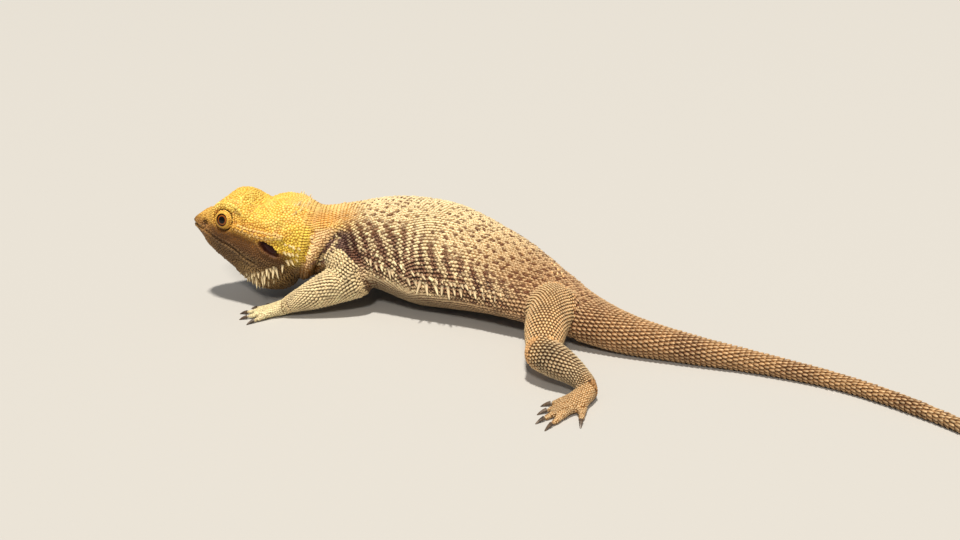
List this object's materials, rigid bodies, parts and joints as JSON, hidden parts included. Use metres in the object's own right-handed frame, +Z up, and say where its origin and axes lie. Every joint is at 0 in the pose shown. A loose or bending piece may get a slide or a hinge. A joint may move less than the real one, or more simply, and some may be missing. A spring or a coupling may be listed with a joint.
{
  "type": "bearded dragon lizard, still life-size model",
  "caption": "Life-size still model of a bearded dragon lizard lying on its belly with chest and head raised, legs spread and tail laid in a curve.",
  "frame": {"origin": "on the floor, under the middle of the whole model's box", "axes": "+X towards the tail, -X towards the snout, +Y towards the animal's right side, +Z up from the floor"},
  "size_m": [0.4068, 0.1484, 0.0523],
  "materials": {
    "head_skin": "matte scaly skin, yellow orange",
    "body_skin": "matte scaly skin, sand with brown marks",
    "tail_skin": "matte ringed scaly skin, tan",
    "limb_skin": "matte scaly skin, cream",
    "eye": "wet gloss, orange iris with a dark pupil",
    "claw": "satin dark horn"
  },
  "bodies": {
    "root": {"abdomen": "body_skin", "chest": "body_skin", "eye_left": "eye", "eye_right": "eye", "foot_left": "limb_skin", "foot_left_claw_1": "claw", "foot_left_claw_2": "claw", "foot_left_claw_3": "claw", "foot_left_claw_4": "claw", "foot_left_claw_5": "claw", "foot_right": "limb_skin", "foot_right_claw_1": "claw", "foot_right_claw_2": "claw", "foot_right_claw_3": "claw", "foot_right_claw_4": "claw", "foot_right_claw_5": "claw", "forearm_left": "limb_skin", "forearm_right": "limb_skin", "hand_left": "limb_skin", "hand_left_claw_1": "claw", "hand_left_claw_2": "claw", "hand_left_claw_3": "claw", "hand_left_claw_4": "claw", "hand_left_claw_5": "claw", "hand_right": "limb_skin", "hand_right_claw_1": "claw", "hand_right_claw_2": "claw", "hand_right_claw_3": "claw", "hand_right_claw_4": "claw", "hand_right_claw_5": "claw", "head": "head_skin", "neck": "head_skin", "pelvis": "body_skin", "shin_left": "limb_skin", "shin_right": "limb_skin", "tail_1": "tail_skin", "tail_2": "tail_skin", "tail_3": "tail_skin", "tail_4": "tail_skin", "thigh_left": "limb_skin", "thigh_right": "limb_skin", "upper_arm_left": "limb_skin", "upper_arm_right": "limb_skin"}
  },
  "joints": []
}
